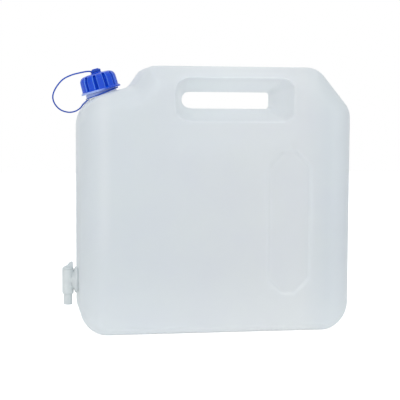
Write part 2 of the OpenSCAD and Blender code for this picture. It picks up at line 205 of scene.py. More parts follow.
def rim_ring(turn, wall_t, spacing):
    """The body's outline at a turn of its edge rounding, 0 at the rim and 90 degrees at the flat face.
    Gives points (x, z) and the edge radius that belongs to each."""
    n = len(RIM_CORNERS)
    ways = [RIM_CORNERS[(i + 1) % n] - RIM_CORNERS[i] for i in range(n)]
    ways = [w / np.linalg.norm(w) for w in ways]
    outs = [np.array((w[1], -w[0])) for w in ways]
    inset = [wall_t + (r - wall_t) * (1 - math.cos(turn)) for r in FACE_R]
    arcs = []
    for i in range(n):
        before = (i - 1) % n
        n1, n2, a, b = outs[before], outs[i], inset[before], inset[i]
        c = float(n1 @ n2)
        corner = RIM_CORNERS[i] + ((b * c - a) * n1 + (a * c - b) * n2) / (1 - c * c)
        way = CORNER_WAY[i]
        r = max(MIN_CORNER_R, CORNER_R[i] - way * (a + b) / 2)
        centre = corner - way * r * (n1 + n2) / (1 + c)
        a1, a2 = math.atan2(n1[1], n1[0]), math.atan2(n2[1], n2[0])
        sweep = (a2 - a1 + math.pi) % (2 * math.pi) - math.pi
        steps = max(12, int(abs(sweep) * CORNER_R[i] / spacing))
        f = np.linspace(0, 1, steps + 1)
        th = a1 + sweep * f
        pts = centre + way * r * np.stack([np.cos(th), np.sin(th)], -1)
        arcs.append((pts, FACE_R[before] * (1 - f) + FACE_R[i] * f))
    points, radii = [], []
    for i in range(n):
        pts, rr = arcs[i]
        nxt = arcs[(i + 1) % n][0][0]
        full = np.linalg.norm(RIM_CORNERS[(i + 1) % n] - RIM_CORNERS[i])
        steps = max(4, int(full / spacing))
        f = (np.arange(1, steps) / steps)[:, None]
        points += [pts, pts[-1] * (1 - f) + nxt * f]
        radii += [rr, np.full(steps - 1, FACE_R[i])]
    return np.concatenate(points), np.concatenate(radii)


RIM_FINE, RIM_FINE_R = rim_ring(0.0, 0.0, 2.0)


def rim_distance(p):
    """Each point's distance inside the rim, and the edge radius at the nearest rim point."""
    a, b = RIM_FINE, np.roll(RIM_FINE, -1, axis=0)
    ra, rb = RIM_FINE_R, np.roll(RIM_FINE_R, -1)
    d = b - a
    dd = (d * d).sum(-1)
    s, r = np.zeros(len(p)), np.zeros(len(p))
    for k in range(0, len(p), 4000):
        q = p[k:k + 4000, None, :] - a[None]
        t = np.clip((q * d).sum(-1) / dd, 0, 1)
        gap = np.linalg.norm(q - t[..., None] * d, axis=-1)
        best = gap.argmin(1)
        rows = np.arange(len(best))
        s[k:k + 4000] = gap[rows, best]
        tb = t[rows, best]
        r[k:k + 4000] = ra[best] * (1 - tb) + rb[best] * tb
    return s, r


def face_depth(p, wall_t):
    """How far the rounded face lies from the middle plane at each (x, z)."""
    s, r = rim_distance(p)
    c = np.clip(1 - (s - wall_t) / (r - wall_t), 0, 1)
    return HALF_D - r + (r - wall_t) * np.sqrt(1 - c * c)


def slot_sdf(p, e, grow):
    """Below zero inside the slot's outline where it has opened out by e, above zero outside it."""
    x0, x1 = SLOT["x0"] - FLARE["left"] * e - grow, SLOT["x1"] + FLARE["right"] * e + grow
    z0, z1 = SLOT["z0"] - FLARE["low"] * e - grow, SLOT["z1"] + FLARE["top"] * e + grow
    mid = np.array(((x0 + x1) / 2, (z0 + z1) / 2))
    half = np.array(((x1 - x0) / 2, (z1 - z0) / 2))
    left, low = (p < mid).T[..., None]
    r = np.where(low, np.where(left, SLOT_CORNERS["left_low"], SLOT_CORNERS["right_low"]),
                 np.where(left, SLOT_CORNERS["left_top"], SLOT_CORNERS["right_top"]))
    r = r + SLOT_CORNER_OPEN * e + grow
    q = (np.abs(p - mid) - half) / r + 1
    return np.linalg.norm(np.maximum(q, 0), axis=1) - 1


# how the shell's surface is drawn: lengths in mm, the slope in radians a mm along the rim
AIM_DEPTH, CORE_INSET, SEARCH_REACH, HALVINGS = 10.0, 12.0, 60.0, 26
FLARE_GAP, LEAST_EDGE, LEAST_TURN = 3.0, 4.0, 6
TURN_SLOPE = 0.003
FLARE_SLOPE, LIP_BELOW, LIP_ABOVE = 4.0, 13.0, 3.5
LAND_HALF_W, WELD_HALF_W, WELD_PROUD = 3.0, 0.9, 0.5
LIMIT_PASSES, SLOPE_PASSES, LIP_PASSES = 8, 150, 30


def softened(values, passes):
    """Values round a closed ring, each drawn toward its neighbours."""
    for _ in range(passes):
        values = (np.roll(values, 1) + values + np.roll(values, -1)) / 3
    return values


def shell_rings(wall_t, spacing, stations, bridge_steps, edge_steps, band):
    """Closed rings from the slot's weld land over one face, round the rim and back over the other face."""
    count = len(rim_ring(0.0, wall_t, spacing)[0])
    turns = np.linspace(0, math.pi / 2, 31)
    family = np.stack([rim_ring(t, wall_t, spacing)[0] for t in turns])
    rim_r = rim_ring(0.0, wall_t, spacing)[1]
    aim = np.empty((count, 2))
    for i in range(count):
        inset = wall_t + (rim_r[i] - wall_t) * (1 - np.cos(turns))
        aim[i] = [np.interp(AIM_DEPTH + wall_t, inset, family[:, i, k]) for k in (0, 1)]
    middle_z = (SLOT["z0"] + SLOT["z1"]) / 2
    core_x = np.clip(aim[:, 0], SLOT["x0"] + CORE_INSET, SLOT["x1"] - CORE_INSET)
    core = np.stack([core_x, np.full(count, middle_z)], -1)
    way = aim - core
    way /= np.linalg.norm(way, axis=1)[:, None]

    def slot_points(e):
        """Where each path meets the slot's outline that has opened out by e."""
        near, far = np.zeros(count), np.full(count, SEARCH_REACH)
        for _ in range(HALVINGS):
            half_way = (near + far) / 2
            inside = slot_sdf(core + way * half_way[:, None], e, wall_t) < 0
            near, far = np.where(inside, half_way, near), np.where(inside, far, half_way)
        return core + way * far[:, None]

    # the flare opens out a little faster toward the face
    flare = [0.9 * s + 0.1 * s ** 3 for s in stations]
    plan = [slot_points(e) for e in flare]
    tunnel_y = [np.full(count, SLOT["land"] + s * (HALF_D - SLOT["land"])) for s in stations]
    reach, _ = rim_distance(plan[-1])
    limit = np.minimum(rim_r, np.maximum(reach - FLARE_GAP, wall_t + LEAST_EDGE))
    for _ in range(LIMIT_PASSES):
        limit = np.minimum(limit, softened(limit, 1))
    # a path stops going in from the rim where the slot no longer lies ahead of it, and its neighbours follow
    inward = -rim_outward(family[0])
    home = plan[-1][None] - family
    home /= np.linalg.norm(home, axis=2)[..., None]
    ahead = np.cumprod((inward[None] * home).sum(-1) > 0.1, axis=0).sum(0)
    turn_limit = np.minimum(np.arccos(np.clip(1 - (limit - wall_t) / (rim_r - wall_t), 0, 1)),
                            turns[np.maximum(ahead - 1, LEAST_TURN)])
    for _ in range(SLOPE_PASSES):
        nearby = np.minimum(np.roll(turn_limit, 1), np.roll(turn_limit, -1))
        turn_limit = np.minimum(turn_limit, nearby + TURN_SLOPE * spacing)
    turn_limit = softened(turn_limit, 4)

    def rim_points(share):
        """Each path's point at a share of its turn over the rim's rounding."""
        want = turn_limit * share
        pos = want / (math.pi / 2) * (len(turns) - 1)
        k = np.minimum(pos.astype(int), len(turns) - 2)
        f = (pos - k)[:, None]
        idx = np.arange(count)
        return family[k, idx] * (1 - f) + family[k + 1, idx] * f

    inner_end, last_y = plan[-1], tunnel_y[-1]
    outer_start = rim_points(1.0)
    for k in range(1, bridge_steps):
        f = math.sin(math.pi / 2 * k / bridge_steps)
        p = inner_end * (1 - f) + outer_start * f
        plan.append(p)
        tunnel_y.append(last_y + FLARE_SLOPE * np.linalg.norm(p - inner_end, axis=1))
    for k in range(edge_steps + 1):
        p = rim_points(1 - k / edge_steps)
        plan.append(p)
        tunnel_y.append(last_y + FLARE_SLOPE * np.linalg.norm(p - inner_end, axis=1))

    # the flare meets the face over a soft lip, which is wider below the slot
    lip = softened(np.where(way[:, 1] < -0.5, LIP_BELOW, LIP_ABOVE), LIP_PASSES)
    rings = []
    for p, tunnel in zip(plan, tunnel_y):
        face = face_depth(p, wall_t)
        overlap = np.maximum(lip - np.abs(tunnel - face), 0)
        y = np.minimum(tunnel, face) - overlap * overlap / (4 * lip)
        rings.append(np.stack([p[:, 0], np.maximum(y, SLOT["land"]), p[:, 1]], -1))
    rim_y = HALF_D - rim_r
    rings[-1][:, 1] = rim_y
    front = [r * (1, -1, 1) for r in rings]
    rim = rings[-1]
    out = rim_outward(rim[:, [0, 2]])
    middle = []
    for share, proud in band:
        r = rim.copy()
        r[:, 1] = share if abs(share) > 1 else rim_y * share
        r[:, [0, 2]] += out * proud
        middle.append(r)
    # the slot's land, where the two halves are pinched together, with a fine weld line on the outside
    land = []
    weld = -WELD_PROUD if wall_t == 0 else 0.0
    for y, proud in ((LAND_HALF_W, 0.0), (WELD_HALF_W, 0.0), (0.0, weld), (-WELD_HALF_W, 0.0),
                     (-LAND_HALF_W, 0.0)):
        r = rings[0].copy()
        r[:, [0, 2]] += way * proud
        r[:, 1] = y
        land.append(r)
    return front + middle + rings[::-1] + land


def rim_outward(rim):
    """The outward direction at each point of a ring."""
    ahead, behind = np.roll(rim, -1, axis=0), np.roll(rim, 1, axis=0)
    along = ahead - behind
    out = np.stack([along[:, 1], -along[:, 0]], -1)
    return out / np.linalg.norm(out, axis=1)[:, None]


# how far out along the slot's flare each ring lies, as a share of the half depth
OUTER_STATIONS = [0, .03, .08, .15, .23, .31, .39, .47, .54, .61, .67, .73, .78, .82, .85, .88, .9, .92,
                  .94, .96, .98, 1.0, 1.02, 1.04, 1.07, 1.1]
INNER_STATIONS = [0, .1, .25, .4, .55, .7, .8, .88, .94, 1.0, 1.06]
# rings across the rim's flat: each one's place, as a share of the half width, or in mm where it is over 1,
# and how far out it stands. The mould's parting line is a fine ridge, flush with the rim's full outline
PARTING_BAND = [(-.75, -.2), (-.35, -.34), (-1.9, -.34), (-1.1, -.22), (-0.5 / 41, 0),
                (.5 / 41, 0), (1.1, -.22), (1.9, -.34), (.35, -.34), (.75, -.2)]
PLAIN_BAND = [(-.5, 0), (0, 0), (.5, 0)]

outer_rings = shell_rings(0.0, 2.9, OUTER_STATIONS, 16, 12, PARTING_BAND)
outer = object_from(sheet_of_rings(outer_rings, True), "outer_skin")
inner_rings = shell_rings(WALL, 7.0, INNER_STATIONS, 8, 7, PLAIN_BAND)
cavity = object_from(sheet_of_rings(inner_rings, True), "inner_skin")

PANEL_SOFT = 5.0


def octagon(grow, y):
    """The sunk panel's outline, grown, at a depth of y inside the front face."""
    c = PANEL["corner"] + grow * (2 - math.sqrt(2))
    x0, x1, z0, z1 = PANEL["x0"] - grow, PANEL["x1"] + grow, PANEL["z0"] - grow, PANEL["z1"] + grow
    flat = [(x0 + c, z0), (x1 - c, z0), (x1, z0 + c), (x1, z1 - c),
            (x1 - c, z1), (x0 + c, z1), (x0, z1 - c), (x0, z0 + c)]
    ring = []
    for k, p in enumerate(flat):
        a, b, after = Vector(flat[k - 1]), Vector(p), Vector(flat[(k + 1) % 8])
        start, end = b + (a - b).normalized() * PANEL_SOFT, b + (after - b).normalized() * PANEL_SOFT
        for s in range(6):
            t = s / 5
            q = start * (1 - t) ** 2 + b * 2 * t * (1 - t) + end * t * t
            ring.append((q.x, y - HALF_D, q.y))
    return ring


def panel_tool(name, grow):
    """A shallow block with a soft S-shaped border that presses the panel into the front face."""
    rings = [octagon(1.6 + grow, -3.0), octagon(1.6 + grow, -0.5)]
    for k in range(1, 9):
        t = k / 8
        rings.append(octagon(1.0 + grow - t * PANEL["border"], PANEL["depth"] * t * t * (3 - 2 * t) + grow))
    bm = sheet_of_rings(rings, False)
    bmesh.ops.holes_fill(bm, edges=bm.edges, sides=0)
    bmesh.ops.recalc_face_normals(bm, faces=bm.faces)
    return object_from(bm, name)


combine(outer, panel_tool("panel_press", 0.0), "DIFFERENCE")
combine(cavity, panel_tool("panel_press_inside", WALL), "DIFFERENCE")
combine(outer, cavity, "DIFFERENCE")

# neck, boss and tap hole belong to the shell
bore = turned([(0, -16), (18.3, -16), (18.3, 20), (0, 20)], FINE)
combine(outer, object_from(bore, "neck_hole", NECK_FRAME), "DIFFERENCE")
neck_tube = turned([
    (NECK_BORE_R, -1.5), (23.2, -1.5), (23.2, -0.2), (21.4, 0.25), (20.2, 1.2), (NECK_R + 0.1, 2.6),
    (NECK_R, 4), (NECK_R, NECK_H - 0.7), (NECK_R - 0.2, NECK_H - 0.2), (NECK_R - 0.7, NECK_H),
    (NECK_BORE_R + 0.6, NECK_H), (NECK_BORE_R + 0.15, NECK_H - 0.2), (NECK_BORE_R, NECK_H - 0.6),
], FINE)
combine(outer, object_from(neck_tube, "neck_tube", NECK_FRAME), "UNION")
boss = turned([(0, -7), (BOSS_R - 0.7, -7), (BOSS_R, -6.3), (BOSS_R, -0.9), (0, -0.9)], PLAIN)
combine(outer, object_from(boss, "tap_boss", STUB_FRAME), "UNION")
hole = turned([(0, -9), (TAP_HOLE_R, -9), (TAP_HOLE_R, 3), (0, 3)], PLAIN)
combine(outer, object_from(hole, "tap_hole", STUB_FRAME), "DIFFERENCE")
neck_thread = object_from(thread(19.5, 21.3, 3.0, 1.2, 2.0, 8.0), "neck_thread", NECK_FRAME)
shell = joined("canister_shell", [outer, neck_thread])
smooth(shell, 32)


# cap
def clamped(value):
    """The value, kept between 0 and 1."""
    return min(1.0, max(0.0, value))


def from_groove(angle):
    """The angle from the middle of the nearest finger groove."""
    step = 2 * math.pi / GROOVES
    return (angle + math.pi / 2 - GROOVE_TURN + step / 2) % step - step / 2


def groove(angle, r, fade):
    """How deep a finger groove cuts at this angle of the cap."""
    side = clamped((GROOVE_HALF_W - abs(from_groove(angle)) * r) / GROOVE_SIDE)
    return fade * GROOVE_DEPTH * side * side * (3 - 2 * side)


def edge_light_and_groove_shade(angle, r, z):
    """Painted light on the cap: painted highlights along the edges of the finger grooves, stronger on one
    side of each, and on the left part of the flange. Below zero on the floors of the grooves, for painted
    shade."""
    if z < 2.7 and r > CAP_BORE_R + 0.2:
        return clamped(0.5 - r * math.cos(angle) / 14)
    off = from_groove(angle)
    near = max(0.0, 1 - abs(abs(off) * CAP_R - 2.7) / 0.7) * (0.9 if off < 0 else 0.6)
    floor_share = clamped((2.0 - abs(off) * CAP_R) / 0.5)
    return near - floor_share if r > CAP_R - 5 and 4 < z < 23 else 0.0


EYE_Z = CAP_H + EYE_RISE
STUD_Z = EYE_Z + EYE_T + 0.2
cap_profile = rounded([
    (0, 22.0), (15.1, 22.0), (15.1, 19.0), (CAP_BORE_R, 19.0), (CAP_BORE_R, 0.3), (CAP_BORE_R + 0.3, 0),
    (FLANGE_R - 0.3, 0), (FLANGE_R, 0.5), (FLANGE_R - 0.05, 1.9), (FLANGE_R - 0.5, 2.35), (CAP_R + 0.5, 3.0),
    (CAP_R, 4.2), (CAP_R, 6), (CAP_R - 0.1, 10), (CAP_R - 0.2, 14), (CAP_R - 0.5, 17.4), (CAP_R - 1.4, 19.8),
    (CAP_R - 2.8, 21.5), (CAP_R - 4.6, 22.7), (CAP_R - 7.0, 23.5), (CAP_R - 12, 24.2),
    (EYE_R + 0.7, CAP_H - 0.1), (EYE_R, CAP_H + 0.7), (EYE_R - 0.1, EYE_Z), (STUD_R + 0.1, EYE_Z),
    (STUD_R, EYE_Z + 0.3), (STUD_R, STUD_Z - 0.2), (STUD_R + 0.1, STUD_Z), (STUD_HEAD_R - 0.1, STUD_Z),
    (STUD_HEAD_R - 0.05, STUD_Z + 0.3), (STUD_HEAD_R - 0.3, STUD_Z + 1.0),
    (STUD_HEAD_R - 0.9, STUD_Z + 1.25), (0, STUD_Z + 1.28),
], 0.8, 2)
cap_rings = []
# samples across each groove, close together on its sides
STEP_OFFSETS = [k * 0.141 for k in range(-50, -25, 3)] + [k * 0.14 for k in range(-23, 24)]
STEP_OFFSETS += [k * 0.141 for k in range(28, 50, 3)]
cap_angles = [(k / GROOVES) * 2 * math.pi + GROOVE_TURN - math.pi / 2 + s / CAP_R
              for k in range(GROOVES) for s in STEP_OFFSETS]
for r, z in cap_profile:
    outside = r > CAP_BORE_R + 0.5 or z > 22.6
    fade = clamped((z - 3.2) / 1.4) * clamped((24.4 - z) / 2.2)
    if not outside or r < 15:
        fade = 0.0
    ring = []
    for angle in cap_angles:
        kept_r = r - groove(angle, CAP_R, fade)
        ring.append((kept_r * math.cos(angle), kept_r * math.sin(angle), z))
    cap_rings.append(ring)
cap_body = object_from(sheet_of_rings(cap_rings, False), "cap_body", CAP_FRAME)
cap_thread = object_from(thread(21.7, 20.1, 2.4, 1.0, 2.0, 11.0 - CAP_GAP), "cap_thread", CAP_FRAME)
cap = joined("screw_cap", [cap_body, cap_thread])
smooth(cap, 38)
to_cap = (Matrix.Scale(MM, 4) @ CAP_FRAME @ Matrix.Scale(1 / MM, 4)).inverted()
# painted highlights and painted shade for the cap, one value per vertex
PAINTED_LIGHT_VALUE = "edge_light_and_groove_shade"
painted_light_values = cap.data.attributes.new(PAINTED_LIGHT_VALUE, "FLOAT", "POINT")
for k, v in enumerate(cap.data.vertices):
    spot = to_cap @ v.co / MM
    painted_light_values.data[k].value = edge_light_and_groove_shade(math.atan2(spot.y, spot.x), math.hypot(spot.x, spot.y), spot.z)

# tether: ring, strap and eye
STRAP_ROUTE = [
    (-13.2, 14, -4), (-16.2, 21, -5.9), (-19.8, 31, -9.3), (-23.4, 42, -13.3), (-26.2, 51, -17.9),
    (-33.2, 53, -22.5), (-43.2, 47, -23.9), (-54.2, 39, -20.5), (-62.2, 30, -12.5), (-65.0, 22, -2.5),
    (-61.2, 15, 8.5), (-52.4, 9, 19.4), (-41.2, 5, 25.4), (-30, 2, 28.5), (-20.2, 0, 30.4), (-14.3, 0, 30.4),
]


def spline(p, i, f):
    """A point between two points of a route, on a curve that runs through them all."""
    a, b, c, d = (Vector(p[min(max(k, 0), len(p) - 1)]) for k in (i - 1, i, i + 1, i + 2))
    square = (2 * a - 5 * b + 4 * c - d) * f * f
    return 0.5 * (2 * b + (c - a) * f + square + (3 * b - a - 3 * c + d) * f ** 3)


strap_line = [spline(STRAP_ROUTE, i, k / 8) for i in range(len(STRAP_ROUTE) - 1) for k in range(8)]
strap_line.append(Vector(STRAP_ROUTE[-1]))


def tube_rings(line, r, sides):
    """Rings round a line, for a round strap."""
    angles = [2 * math.pi * k / sides for k in range(sides)]
    rings = []
    up = Vector((0.35, 0.8, 0.5)).normalized()
    for i, p in enumerate(line):
        t = (line[min(i + 1, len(line) - 1)] - line[max(i - 1, 0)]).normalized()
        u = t.cross(up).normalized()
        v = u.cross(t)
        rings.append([p + r * (math.cos(a) * u + math.sin(a) * v) for a in angles])
    return rings


strap_bm = sheet_of_rings(tube_rings(strap_line, STRAP_R, 12), False)
bmesh.ops.holes_fill(strap_bm, edges=strap_bm.edges, sides=0)
strap = object_from(strap_bm, "strap", Matrix.Translation(NECK_FOOT))


def band_profile(r0, r1, z0, z1, soft):
    """A closed ring section with soft corners, starting in the middle of its inner side."""
    zm = (z0 + z1) / 2
    return rounded([(r0, zm), (r0, z1), (r1, z1), (r1, z0), (r0, z0), (r0, zm - 0.01)], soft)


ring_section = band_profile(RING_BORE_R, RING_BORE_R + RING_W, -RING_T / 2, RING_T / 2, 0.6)
ring_piece = object_from(turned(ring_section, FINE), "ring", RING_FRAME)
# the ring's thin collar reaches from the leaning ring up to the cap's flange, where the photo shows blue
COLLAR_IN, COLLAR_OUT, COLLAR_TOP = RING_BORE_R + 0.3, RING_BORE_R + 0.9, CAP_GAP - 0.3
collar_rings = []
for r, upper in ((COLLAR_IN, 0), (COLLAR_OUT, 0), (COLLAR_OUT, 1), (COLLAR_IN, 1)):
    ring = []
    for k in range(FINE):
        angle = 2 * math.pi * k / FINE
        x, y = r * math.cos(angle), r * math.sin(angle)
        ring.append((x, y, COLLAR_TOP if upper else RING_RISE + x * math.tan(RING_LEAN)))
    collar_rings.append(ring)
collar_piece = object_from(sheet_of_rings(collar_rings, True), "collar", NECK_FRAME)
eye_section = band_profile(STUD_R + 0.3, EYE_R, EYE_Z + 0.1, EYE_Z + 0.1 + EYE_T, 0.8)
eye_piece = object_from(turned(eye_section, PLAIN), "eye", CAP_FRAME)
tether = joined("cap_tether", [strap, ring_piece, collar_piece, eye_piece])
smooth(tether, 40)
# painted highlight: the collar is paler toward its left side
collar_painted_light = tether.data.attributes.new(PAINTED_LIGHT_VALUE, "FLOAT", "POINT")
to_neck = (Matrix.Scale(MM, 4) @ NECK_FRAME @ Matrix.Scale(1 / MM, 4)).inverted()
for k, v in enumerate(tether.data.vertices):
    spot = to_neck @ v.co / MM
    on_collar = math.hypot(spot.x, spot.y) < COLLAR_OUT + 0.05 and spot.z < CAP_GAP
    collar_painted_light.data[k].value = clamped(0.6 - spot.x / 30) if on_collar else 0.0

# tap
stub = turned(rounded([
    (0, -11), (STUB_R - 0.6, -11), (STUB_R, -10.4), (STUB_R, 1.3), (TAP_FLANGE_R, 1.3), (TAP_FLANGE_R, 3.6),
    (16.4, 4.3), (14.6, 5.0), (12.6, 5.8), (11.2, 7.0), (10.4, 8.0), (7.3, 8.0), (7.3, BARREL_X),
    (0, BARREL_X),
], 0.5), FINE)
tap_body = object_from(stub, "tap_stub", STUB_FRAME)
barrel = turned(rounded([
    (0, -33.5), (NOZZLE_R - 0.3, -33.5), (NOZZLE_R, -33.2), (NOZZLE_R, -19.0), (6.6, -19.0),
    (BARREL_R, -17.4), (BARREL_R, 14.4), (BARREL_R - 0.6, 15.0), (0, 15.0),
], 0.5), FINE)
combine(tap_body, object_from(barrel, "tap_barrel", BARREL_FRAME), "UNION")
stub_way = [(0, -13), (6.2, -13), (6.2, 2.3), (PASSAGE_R, 2.8), (PASSAGE_R, BARREL_X), (0, BARREL_X)]
plug_seat = [(0, -17), (PLUG_BORE_R, -17), (PLUG_BORE_R, 17), (0, 17)]
nozzle_way = [(0, -35), (4.1, -35), (PASSAGE_R, -33.2), (PASSAGE_R, -15), (0, -15)]
for cut, place in ((stub_way, STUB_FRAME), (plug_seat, BARREL_FRAME), (nozzle_way, BARREL_FRAME)):
    combine(tap_body, object_from(turned(cut, PLAIN), "tap_bore", place), "DIFFERENCE")
tap_body.name = "tap_body_moulding"
smooth(tap_body, 38)

# the plug turns in the barrel by its wing
WING_T = 4.0
WING = [
    (-6.7, 16.1), (7.1, 16.1), (7.0, 20.2), (6.7, 23.9), (5.7, 25.2), (2.5, 24.0), (1.2, 22.7), (-0.7, 20.2),
    (-3.9, 18.6), (-6.2, 17.3),
]
plug_body = turned(rounded([
    (0, -16.9), (PLUG_R, -16.9), (PLUG_R, 15.1), (BARREL_R, 15.1), (BARREL_R, 16.0), (6.4, 17.0), (0, 17.0),
], 0.4), FINE)
plug = object_from(plug_body, "tap_plug_moulding", BARREL_FRAME)
wing_bm = bmesh.new()
wing_face = wing_bm.faces.new([wing_bm.verts.new((x, -WING_T / 2, z)) for x, z in WING])
grown = bmesh.ops.extrude_face_region(wing_bm, geom=[wing_face])
far_side = [v for v in grown["geom"] if isinstance(v, bmesh.types.BMVert)]
bmesh.ops.translate(wing_bm, verts=far_side, vec=(0, WING_T, 0))
bmesh.ops.recalc_face_normals(wing_bm, faces=wing_bm.faces)
bmesh.ops.bevel(wing_bm, geom=wing_bm.edges[:], offset=0.7, segments=3, profile=0.5, affect="EDGES",
                material=-1)
combine(plug, object_from(wing_bm, "wing", BARREL_FRAME), "UNION")
plug_way = turned([(0, -18), (PASSAGE_R, -18), (PASSAGE_R, 2), (2.6, 3.4), (0, 3.7)], COARSE)
combine(plug, object_from(plug_way, "plug_way", BARREL_FRAME), "DIFFERENCE")
plug_port = turned([(0, 0), (3.3, 0), (3.3, 8), (0, 8)], COARSE)
PORT_FRAME = BARREL_FRAME @ Matrix.Rotation(math.pi / 2, 4, "X")
combine(plug, object_from(plug_port, "plug_port", PORT_FRAME), "DIFFERENCE")
seat_groove = turned(band_profile(4.7, 7.0, 9.5, 11.5, 0.2), PLAIN)
combine(plug, object_from(seat_groove, "oring_groove", BARREL_FRAME), "DIFFERENCE")
smooth(plug, 38)


# materials
def linear(hex_code):
    """An sRGB hex colour as linear RGBA."""
    vals = [int(hex_code[k:k + 2], 16) / 255 for k in (1, 3, 5)]
    return [v / 12.92 if v <= 0.04045 else ((v + 0.055) / 1.055) ** 2.4 for v in vals] + [1.0]


def add_node(tree, kind, at, **sockets):
    """A node at a place in the tree, with the values or links of its inputs."""
    made = tree.nodes.new(kind)
    made.location = at
    for name, value in sockets.items():
        if hasattr(made, name) and name not in made.inputs:
            setattr(made, name, value)
            continue
        socket = made.inputs[int(name[1:])] if name[0] == "_" else made.inputs[name.replace("_", " ")]
        if isinstance(value, bpy.types.NodeSocket):
            tree.links.new(value, socket)
        else:
            socket.default_value = value
    return made


def new_material(name):
    made = bpy.data.materials.new(name)
    made.use_nodes = True
    made.node_tree.nodes.clear()
    return made, made.node_tree


# painted shade across the width: darker, bluer stops over the rounded sides at both ends
SIDE_SHADE_TINTS = [(-182, "#FBFEFF"), (-120, "#FAFDFF"), (-20, "#FDFEFF"), (60, "#FFFFFF"), (110, "#FFFFFF"),
              (143, "#F7FAFC"), (182, "#FAFDFF")]


def two_tone(tree, source, code_a, code_b):
    """A soft change between two colours over a noise."""
    tint = add_node(tree, "ShaderNodeValToRGB", (-700, 200), Fac=source.outputs["Fac"])
    for stop, position, code in zip(tint.color_ramp.elements, (0.3, 0.7), (code_a, code_b)):
        stop.color = linear(code)
        stop.position = position
    return tint.outputs["Color"]


def blown_hdpe():
    """Unpigmented polyethylene, blown in a sand-blasted mould: milky, light passes in and scatters, and the
    fine matt grain of the mould breaks up every reflection. Its colour also holds painted shade toward both
    ends and a painted highlight line by the left edge, and it gives off a painted glow where the form is
    closed in."""
    material, tree = new_material("natural_blown_polyethylene")
    place = add_node(tree, "ShaderNodeTexCoord", (-1200, 0)).outputs["Object"]
    cloud = add_node(tree, "ShaderNodeTexNoise", (-950, 200), Vector=place, Scale=14.0, Detail=3.0,
                     Roughness=0.5)
    tint = two_tone(tree, cloud, "#E3E6EA", "#E5E9EA")
    # painted shade: the colour is darker and bluer toward the two ends, over the rounded sides
    at = add_node(tree, "ShaderNodeSeparateXYZ", (-950, 600), Vector=place)
    across = add_node(tree, "ShaderNodeMapRange", (-700, 600), Value=at.outputs["X"],
                      _1=-HALF_W * MM, _2=HALF_W * MM)
    side_shade_ramp = add_node(tree, "ShaderNodeValToRGB", (-450, 600), Fac=across.outputs["Result"])
    for k, (x, code) in enumerate(SIDE_SHADE_TINTS):
        stop = side_shade_ramp.color_ramp.elements[k] if k < 2 else side_shade_ramp.color_ramp.elements.new(1.0)
        stop.position = (x + HALF_W) / (2 * HALF_W)
        stop.color = linear(code)
    tinted = add_node(tree, "ShaderNodeMixRGB", (-200, 400), blend_type="MULTIPLY", Fac=1.0,
                      Color1=tint, Color2=side_shade_ramp.outputs["Color"])
    # painted highlight: a whiter line runs up the body where the left edge's rounding begins. It is read as
    # thicker plastic, though it may be a reflection
    beside = add_node(tree, "ShaderNodeMath", (-700, 850), operation="ADD", _0=at.outputs["X"], _1=0.152)
    apart = add_node(tree, "ShaderNodeMath", (-550, 850), operation="ABSOLUTE", _0=beside.outputs[0])
    line = add_node(tree, "ShaderNodeMapRange", (-400, 850), interpolation_type="SMOOTHSTEP",
                    Value=apart.outputs[0], _1=0.0, _2=0.012, _3=0.13, _4=0.0)
    height = add_node(tree, "ShaderNodeMapRange", (-400, 1050), interpolation_type="SMOOTHSTEP",
                      Value=at.outputs["Z"], _1=0.08, _2=0.15)
    highlight_share = add_node(tree, "ShaderNodeMath", (-200, 850), operation="MULTIPLY",
                             _0=line.outputs["Result"], _1=height.outputs["Result"])
    shade = add_node(tree, "ShaderNodeMixRGB", (0, 500), Fac=highlight_share.outputs[0],
                     Color1=tinted.outputs["Color"], Color2=(1, 1, 1, 1))
    grain = add_node(tree, "ShaderNodeTexNoise", (-950, -200), Vector=place, Scale=1600.0, Detail=2.0)
    waves = add_node(tree, "ShaderNodeTexNoise", (-950, -450), Vector=place, Scale=34.0, Detail=2.0)
    fine = add_node(tree, "ShaderNodeBump", (-450, -200), Height=grain.outputs["Fac"], Strength=0.12,
                    Distance=0.0002)
    soft = add_node(tree, "ShaderNodeBump", (-250, -350), Height=waves.outputs["Fac"], Strength=0.25,
                    Distance=0.0006, Normal=fine.outputs["Normal"])
    rough = add_node(tree, "ShaderNodeMapRange", (-450, 0), Value=waves.outputs["Fac"], _3=0.36, _4=0.46)
    skin = add_node(tree, "ShaderNodeBsdfPrincipled", (0, 0), Base_Color=shade.outputs["Color"],
                    Roughness=rough.outputs["Result"], IOR=1.54, Normal=soft.outputs["Normal"])
    skin.inputs["Subsurface Weight"].default_value = 0.65
    skin.inputs["Subsurface Radius"].default_value = (1.0, 1.0, 0.95)
    skin.inputs["Subsurface Scale"].default_value = 0.006
    # painted light: the skin glows where the form is closed in, as in the hand slot, to lift the shade there
    closed_in = add_node(tree, "ShaderNodeAmbientOcclusion", (-700, -700), samples=8, Distance=0.1,
                         Color=(1, 1, 1, 1))
    share = add_node(tree, "ShaderNodeMath", (-450, -700), operation="SUBTRACT", _0=1.0,
                     _1=closed_in.outputs["AO"])
    painted_fill_glow = add_node(tree, "ShaderNodeMath", (-250, -700), operation="MULTIPLY", _0=share.outputs[0], _1=0.22)
    skin.inputs["Emission Color"].default_value = linear("#DCDEDC")
    tree.links.new(painted_fill_glow.outputs[0], skin.inputs["Emission Strength"])
    add_node(tree, "ShaderNodeOutputMaterial", (300, 0), Surface=skin.outputs["BSDF"])
    return material


# painted shade for the grooves' floors
GROOVE_SHADE_BLUE = "#0438B6"


